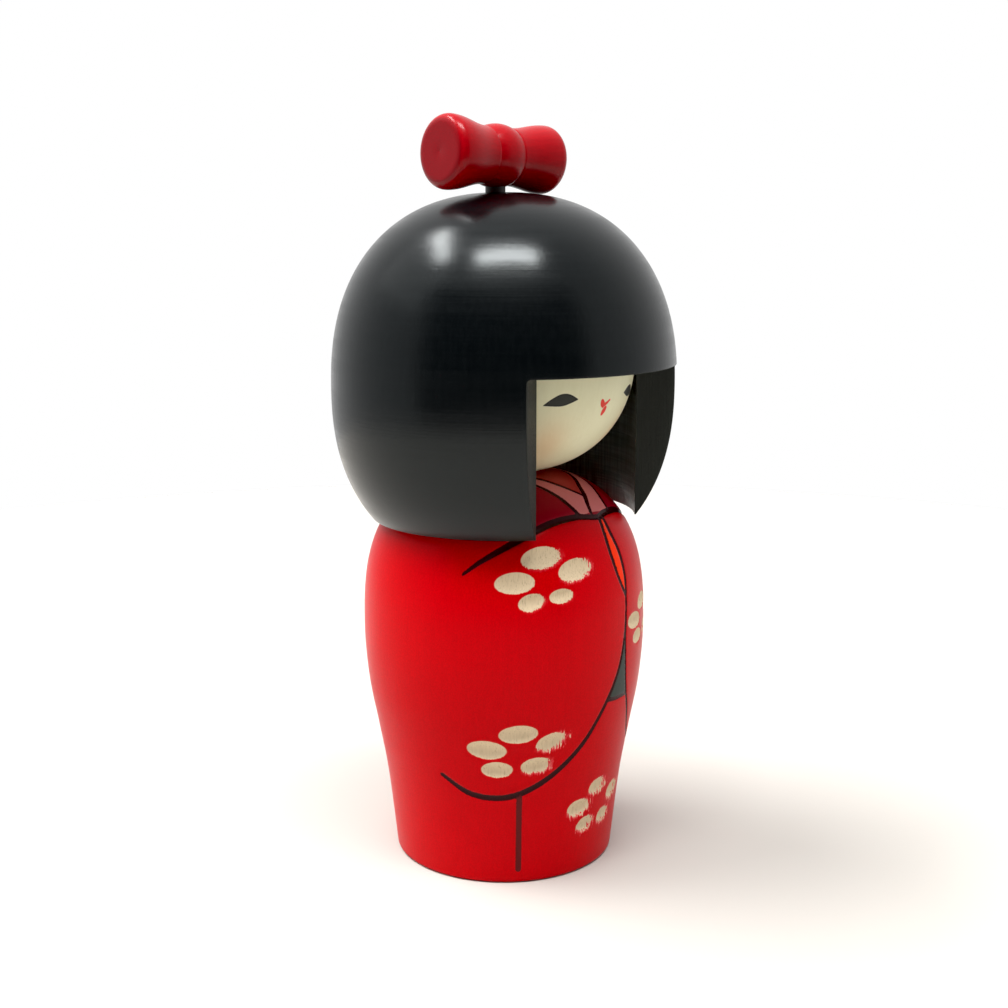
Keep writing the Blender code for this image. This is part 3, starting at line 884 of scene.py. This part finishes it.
def make_face_ball():
    """The head: a ball flattened underneath, with the painted face."""
    bore = DOWEL_RADIUS + BORE_CLEARANCE
    bore_top = DOWEL_HIGH[2] + GLUE_GAP
    seat_angle = superellipse_angle(HEAD_SEAT - HEAD_CENTRE, HEAD_UNDER_HALF_HEIGHT)
    under = superellipse(HEAD_CENTRE, HEAD_RADIUS, HEAD_UNDER_HALF_HEIGHT, seat_angle, 0.0, 400)
    crown = superellipse(HEAD_CENTRE, HEAD_RADIUS, HEAD_TOP - HEAD_CENTRE, 0.0, math.pi / 2.0, 400)
    side = np.vstack([evenly(under, HEAD_FACE_ROWS), evenly(crown, HEAD_CROWN_ROWS)[1:]])
    inner = line((0.0, bore_top), (bore, bore_top), (bore, HEAD_SEAT + DOWEL_CHAMFER))
    outline = np.vstack([inner, side])
    rings = turned_points(outline, crowded_turns(HEAD_COLUMNS, FACE_CROWDING))
    mesh, points = lathe_mesh("face_ball", outline, rings)
    for name, values in face_marks(points).items():
        store(mesh, name, values)
    mesh = bored(mesh, PEG_LOW[2] - GLUE_GAP, HAIR_TOP)
    store_lathe(mesh, HEAD_CENTRE, HEAD_RADIUS)
    return add_piece("face_ball", mesh, "head", "head_ball", "face_wood", face_finish())


def face_marks(points):
    """The eyes, lips and blush, as one value for each point of the head."""
    turn = np.degrees(np.arctan2(points[:, 0], -points[:, 1]))
    plan = unrolled(turn, points[:, 2], HEAD_RADIUS)
    front = np.abs(turn) < 90.0
    lid = np.vstack([smooth_through(UPPER_LID, 8), smooth_through(LOWER_LID, 8)[1:-1]])
    left = unrolled(lid[:, 0], lid[:, 1], HEAD_RADIUS)
    right = left[::-1] * (-1.0, 1.0)
    eyes = np.maximum(region_reach(plan, left), region_reach(plan, right))
    lips = np.full(len(points), -FAR)
    flat = np.column_stack([plan, np.zeros(len(plan))])
    for stroke in LIP_STROKES:
        path = smooth_through(stroke, 5)
        spine = np.column_stack([unrolled(path[:, 0], path[:, 1], HEAD_RADIUS), np.zeros(len(path))])
        lips = np.maximum(lips, stroke_reach(flat, spine, path[:, 2]))
    blush = np.zeros(len(points))
    for side in (-1.0, 1.0):
        middle = unrolled(np.array([side * BLUSH_TURN]), np.array([BLUSH_HEIGHT]), HEAD_RADIUS)[0]
        blush += np.exp(-np.sum((plan - middle) ** 2, axis=1) / (2.0 * BLUSH_SPREAD**2))
    return {
        "eyes": np.where(front, eyes, -FAR),
        "lips": np.where(front, lips, -FAR),
        "blush": np.where(front, blush, 0.0),
    }


def hair_radius(height):
    """The hair's outer radius."""
    rise = height - HAIR_CENTRE
    half_height = np.where(rise > 0.0, HAIR_TOP - HAIR_CENTRE, HAIR_SKIRT_HALF_HEIGHT)
    fullness = np.clip(np.abs(rise) / half_height, 0.0, 1.0) ** TURNED_POWER
    return HAIR_RADIUS * (1.0 - fullness) ** (1.0 / TURNED_POWER)


def jamb_turn(radius):
    """The angle at which the flared plane of a jamb meets a circle about the axis."""
    edge_x = HAIR_RADIUS * math.sin(WINDOW_HALF_ANGLE)
    apex = HAIR_RADIUS * math.cos(WINDOW_HALF_ANGLE) - edge_x / math.tan(JAMB_FLARE)
    return JAMB_FLARE - np.arcsin(apex * math.sin(JAMB_FLARE) / radius)


def hair_point(angle, radius, height):
    return placed(np.degrees(angle), radius, height)


def hair_jamb():
    """One jamb of the window, from the rim up and round its upper corner.

    It gives the height of each row, how far the row leans in, and which way the edge faces there.
    """
    rim_share = (CAVITY_RADIUS + RIM_LAND) / HAIR_RADIUS
    rim = HAIR_CENTRE - HAIR_SKIRT_HALF_HEIGHT * (1.0 - rim_share**TURNED_POWER) ** (1.0 / TURNED_POWER)
    straight = np.linspace(rim, WINDOW_TOP - WINDOW_CORNER, HAIR_JAMB_ROWS)
    bend = np.radians(np.linspace(0.0, 90.0, HAIR_CORNER_ROWS))[1:]
    heights = np.concatenate([straight, WINDOW_TOP - WINDOW_CORNER * (1.0 - np.sin(bend))])
    lean_in = np.concatenate([0.0 * straight, WINDOW_CORNER * (1.0 - np.cos(bend))])
    return heights, lean_in, np.concatenate([0.0 * straight, bend])


def sawn_faces(heights, outer_turn, inner_turn, facing):
    """The faces round the window: a small round-over from the outer side, then flat to the cavity.

    They come with the turn and the height at which each row meets the outer side.
    """
    top = np.linspace(1.0, -1.0, HAIR_WINDOW_COLUMNS + 1)[1:-1]
    height = np.concatenate([heights, WINDOW_TOP + 0.0 * top, heights[::-1]])
    outer_turn = np.concatenate([outer_turn, outer_turn[-1] * top, -outer_turn[::-1]])
    inner_turn = np.concatenate([inner_turn, inner_turn[-1] * top, -inner_turn[::-1]])
    facing = np.concatenate([facing, math.pi / 2.0 + 0.0 * top, math.pi - facing[::-1]])

    corner = hair_point(outer_turn, hair_radius(height), height)
    inside = hair_point(inner_turn, CAVITY_RADIUS, height)
    lip_height = height + WINDOW_EDGE_ROUND * np.sin(facing)
    lip_turn = outer_turn + WINDOW_EDGE_ROUND * np.cos(facing) / hair_radius(lip_height)
    lip = hair_point(lip_turn, hair_radius(lip_height), lip_height)
    width = np.linalg.norm(inside - corner, axis=1)[:, None]
    flat_start = corner + (inside - corner) * np.minimum(WINDOW_EDGE_ROUND / width, 0.3)
    middle = 0.25 * lip + 0.5 * corner + 0.25 * flat_start
    shares = np.linspace(0.0, 1.0, HAIR_SAWN_COLUMNS)[:, None, None]
    flat = flat_start + (inside - flat_start) * shares
    return np.concatenate([lip[None], middle[None], flat]).swapaxes(0, 1), lip_turn, lip_height


def round_the_back(turns):
    """Angles from one jamb round the back to the other, for each row."""
    shares = np.linspace(0.0, 1.0, HAIR_BACK_COLUMNS + 1)
    return turns[:, None] + (2.0 * math.pi - 2.0 * turns[:, None]) * shares


def over_the_window(outline, low_turns):
    """Whole rings above the window, over its top and on round the back from the row below."""
    across = low_turns[0] * np.linspace(-1.0, 1.0, HAIR_WINDOW_COLUMNS + 1)
    turns = np.concatenate([across, low_turns[1:]])
    return hair_point(turns[None, :], outline[:, :1], outline[:, 1:])


def hair_crown(start_height):
    """The outline of the outer side above the window."""
    rise = HAIR_TOP - HAIR_CENTRE
    start = superellipse_angle(start_height - HAIR_CENTRE, rise)
    crown = superellipse(HAIR_CENTRE, HAIR_RADIUS, rise, start, math.pi / 2.0, 600)
    return evenly(crown, HAIR_CROWN_ROWS)


def hair_dome():
    """The outline of the cavity above the window."""
    rise = CAVITY_TOP - HEAD_CENTRE
    dome = superellipse(HEAD_CENTRE, CAVITY_RADIUS, rise, 0.0, math.pi / 2.0, 300)
    return evenly(np.vstack([line((CAVITY_RADIUS, WINDOW_TOP)), dome]), HAIR_DOME_ROWS)


def make_hair():
    """The hair cap: a thick turned bell with the window for the face sawn out of its front."""
    heights, lean_in, facing = hair_jamb()
    outer = hair_radius(heights)
    outer_turn = jamb_turn(outer) - lean_in / outer
    inner_turn = jamb_turn(CAVITY_RADIUS) - lean_in / CAVITY_RADIUS
    sawn, lip_turn, lip_height = sawn_faces(heights, outer_turn, inner_turn, facing)

    jamb = slice(0, len(heights))
    outer_turns = round_the_back(lip_turn[jamb])
    outer_low = hair_point(outer_turns, hair_radius(lip_height[jamb])[:, None], lip_height[jamb, None])
    outer_high = over_the_window(hair_crown(lip_height[jamb][-1]), outer_turns[-1])
    cavity_turns = round_the_back(inner_turn)
    cavity_low = hair_point(cavity_turns, CAVITY_RADIUS, heights[:, None])
    cavity_high = over_the_window(hair_dome(), cavity_turns[-1])
    shares = np.linspace(0.0, 1.0, sawn.shape[1])[:, None, None]
    rim = outer_low[0] + (cavity_low[0] - outer_low[0]) * shares
    rim[:, 0] = sawn[0]
    rim[:, -1] = sawn[-1]

    patches = [(outer_low, 0), (outer_high, 0), (rim, 1), (sawn, 1), (cavity_low, 2), (cavity_high, 2)]
    mesh = joined_patches("hair_bob", patches)
    mesh = bored(mesh, HEAD_TOP - GLUE_GAP, BOW_HEIGHT)
    store_lathe(mesh, HAIR_CENTRE, HAIR_RADIUS)
    finishes = (
        hair_finish("hair_lacquer", HAIR_DARK, HAIR_LIGHT, rough=0.22, ring_depth=0.012, ring_pitch=3.2),
        cut_hair_finish(),
        hair_finish("hair_bore", BORE_DARK, BORE_LIGHT, rough=0.36, ring_depth=0.1, ring_pitch=2.2),
    )
    return add_piece("hair_bob", mesh, "head", "hair_cap", "hair_lacquer", *finishes)


def joined_patches(name, patches):
    """One closed mesh from grids of points whose edges meet, each with the number of its material."""
    shape = bmesh.new()
    for grid, material in patches:
        rows, columns = grid.shape[:2]
        verts = [shape.verts.new(point) for point in (grid.reshape(-1, 3) * MM).tolist()]
        for row in range(rows - 1):
            for column in range(columns - 1):
                first = row * columns + column
                face = shape.faces.new(
                    (verts[first], verts[first + 1], verts[first + columns + 1], verts[first + columns])
                )
                face.material_index = material
    bmesh.ops.remove_doubles(shape, verts=shape.verts, dist=HAIR_WELD * MM)
    bmesh.ops.recalc_face_normals(shape, faces=shape.faces)
    mesh = bpy.data.meshes.new(name)
    shape.to_mesh(mesh)
    shape.free()
    return mesh


def bow_half_outline(end_radius):
    """Half of the spindle, from the lathe's centre mark in its end face to the middle of the bead."""
    mark = line(
        (0.0, BOW_HALF_LENGTH - LATHE_MARK_DEPTH),
        (LATHE_MARK_RADIUS * 0.5, BOW_HALF_LENGTH - LATHE_MARK_DEPTH * 0.6),
        (LATHE_MARK_RADIUS, BOW_HALF_LENGTH - LATHE_MARK_DEPTH * 0.3),
        (LATHE_MARK_RADIUS * 1.3, BOW_HALF_LENGTH),
    )
    face = line((end_radius * 0.4, BOW_HALF_LENGTH), (end_radius * 0.65, BOW_HALF_LENGTH))
    corner = arc(end_radius - BOW_END_ROUND, BOW_HALF_LENGTH - BOW_END_ROUND, BOW_END_ROUND, 90.0, 0.0, 12)
    ease = np.linspace(0.0, 1.0, 40)[1:]
    flare_start = BOW_HALF_LENGTH - BOW_END_ROUND
    flare_end = BOW_BEAD_HALF_WIDTH + BOW_SEAM_HALF_WIDTH
    flare = np.column_stack(
        [
            end_radius + (BOW_WAIST_RADIUS - end_radius) * (0.5 - 0.5 * np.cos(math.pi * ease)),
            flare_start + (flare_end - flare_start) * ease,
        ]
    )
    share = np.linspace(1.0, 0.0, 12)
    bead = np.column_stack(
        [
            BOW_WAIST_RADIUS + (BOW_BEAD_RADIUS - BOW_WAIST_RADIUS) * (1.0 - share**2),
            share * (BOW_BEAD_HALF_WIDTH - BOW_SEAM_HALF_WIDTH),
        ]
    )
    seam = line((BOW_WAIST_RADIUS - BOW_SEAM_DEPTH, BOW_BEAD_HALF_WIDTH))
    return np.vstack([mark, face, corner, flare, seam, bead])


def bow_outline():
    """The whole spindle, from its left end to its right."""
    left = bow_half_outline(BOW_LEFT_END_RADIUS)[:-1] * (1.0, -1.0)
    return np.vstack([left, bow_half_outline(BOW_RIGHT_END_RADIUS)[::-1]])


def make_bow():
    """The bow: a glossy spindle with a bead between two flared ends, lying across the crown."""
    placing = (
        at_peg(BOW_HEIGHT)
        @ Matrix.Rotation(-BOW_YAW, 4, "Z")
        @ Matrix.Rotation(BOW_DROOP, 4, "Y")
        @ Matrix.Rotation(math.radians(90.0), 4, "Y")
    )
    mesh = turned_piece("crown_bow", bow_outline(), BOW_COLUMNS, placing, 0.0, BOW_HALF_LENGTH)
    mesh = bored(mesh, BOW_BOTTOM - 1.0, PEG_HIGH[2] + GLUE_GAP)
    store_lathe(mesh, 0.0, BOW_HALF_LENGTH, placing)
    return add_piece("crown_bow", mesh, "head", "bow", "bow_lacquer", bow_finish())


def make_bow_peg():
    outline = peg_outline(PEG_RADIUS, PEG_LOW[2], PEG_HIGH[2])
    mesh = turned_piece("bow_pin", outline, DOWEL_COLUMNS, at_peg(0.0), HAIR_TOP, PEG_RADIUS)
    finish = peg_finish("peg_stain", paint(14, 5, 6), paint(48, 14, 15), 0.4)
    return add_piece("bow_pin", mesh, "head", "bow_peg", "peg_stain", finish)


# Stage, lights and camera


def make_floor():
    """A round sheet of plain white card under the doll."""
    mesh = bpy.data.meshes.new("floor")
    rim = placed(np.arange(FLOOR_SIDES) * 360.0 / FLOOR_SIDES, FLOOR_RADIUS, FLOOR_HEIGHT)
    mesh.from_pydata(rim.tolist(), [], [list(range(FLOOR_SIDES))])
    floor = bpy.data.objects.new("floor", mesh)
    bpy.context.scene.collection.objects.link(floor)
    finish = Finish("white_card")
    fleck = finish.noise(finish.node("TexCoord", {}, "Object"))
    colour = finish.mix(fleck, FLOOR_DARK, FLOOR_LIGHT)
    mesh.materials.append(finish.set(base_color=colour, roughness=0.8, specular_ior_level=0.2))


FLOOR_DARK = paint(184, 180, 174)
FLOOR_LIGHT = paint(190, 186, 180)


def add_lamp(name, direction, long_side, spread, brightness, mirrored=True):
    """A soft rectangular lamp, placed as the doll sees it: which way it lies, how wide, and how bright."""
    lamp = bpy.data.lights.new(name, "AREA")
    lamp.shape = "RECTANGLE"
    lamp.size = LAMP_DISTANCE * spread[0]
    lamp.size_y = LAMP_DISTANCE * spread[1]
    lamp.energy = 4.0 * brightness * lamp.size * lamp.size_y
    light = bpy.data.objects.new(name, lamp)
    light.visible_glossy = mirrored
    towards = Vector(direction).normalized()
    across = towards.cross(Vector(long_side)).normalized()
    along = across.cross(towards)
    turned = Matrix((along, across, towards)).transposed().to_4x4()
    light.matrix_world = Matrix.Translation(towards * LAMP_DISTANCE + DOLL_MIDDLE) @ turned
    bpy.context.scene.collection.objects.link(light)


def make_lamps():
    add_lamp("ceiling", (-0.185, -0.19, 0.96), (0.7, -0.71, 0.0), (0.56, 0.21), 21.0)
    add_lamp("ceiling_back", (-0.23, 0.43, 0.87), (0.88, 0.47, 0.0), (0.5, 0.12), 18.0)
    add_lamp("window", (-0.45, 0.55, 0.7), (0.77, 0.63, 0.0), (0.8, 0.6), 0.4)
    add_lamp("fill", (-0.32, 0.37, 0.87), (0.77, 0.63, 0.0), (0.5, 0.5), 8.0, mirrored=False)


def make_world():
    """A pale room with its unlit side beyond the camera, and plain white where the camera sees it."""
    world = bpy.data.worlds.new("studio")
    bpy.context.scene.world = world
    world.use_nodes = True
    world.node_tree.nodes.clear()
    room = Pattern(world.node_tree)
    direction = room.node("TexCoord", {}, "Generated")
    beyond_camera = (math.sin(CAMERA_TURN), -math.cos(CAMERA_TURN), 0.0)
    facing = room.node("VectorMath", {0: direction, 1: beyond_camera}, "Value", operation="DOT_PRODUCT")
    rise = room.node("SeparateXYZ", {"Vector": direction}, "Z")
    level = room.calc("SQRT", room.calc("SUBTRACT", 1.0, room.calc("MULTIPLY", rise, rise)))
    heading = room.calc("DIVIDE", facing, room.calc("MAXIMUM", level, TINY))
    low = room.step(rise, *UNLIT_RISES, 1.0, 0.0)
    unlit = room.calc("MULTIPLY", room.step(heading, *UNLIT_HEADINGS), low)
    walls = room.step(heading, *WALL_HEADINGS, WALL_BEHIND, WALL_BESIDE)
    around = room.node("Background", {"Strength": room.mix_number(unlit, walls, WALL_UNLIT)})
    seen = room.node("Background", {"Strength": 1.0, "Color": (1.0, 1.0, 1.0, 1.0)})
    around.node.inputs["Color"].default_value = (1.0, 1.0, 1.0, 1.0)
    by_camera = room.node("LightPath", {}, "Is Camera Ray")
    chosen = room.node("MixShader", {0: by_camera, 1: around, 2: seen})
    room.node("OutputWorld", {"Surface": chosen}, None)


def make_camera():
    lens = bpy.data.cameras.new("camera")
    lens.sensor_width = CAMERA_SENSOR
    lens.lens = CAMERA_LENS
    lens.clip_start = 0.01
    camera = bpy.data.objects.new("camera", lens)
    place = placed(math.degrees(CAMERA_TURN), CAMERA_STAND_OFF, CAMERA_HEIGHT) * MM
    camera.location = Vector(place.tolist())
    camera.rotation_euler = (math.pi / 2.0 - CAMERA_TILT, 0.0, CAMERA_TURN)
    bpy.context.scene.collection.objects.link(camera)
    bpy.context.scene.camera = camera


def set_exposure():
    """A plain transform, with the deepest shadows held down a little as a camera holds them."""
    view = bpy.context.scene.view_settings
    view.view_transform = "Standard"
    view.use_curve_mapping = True
    view.curve_mapping.black_level = (SHADOW_HOLD, SHADOW_HOLD, SHADOW_HOLD)


make_camera()
make_kimono()
make_neck_dowel()
make_face_ball()
make_hair()
make_bow_peg()
make_bow()
make_floor()
make_lamps()
make_world()
set_exposure()
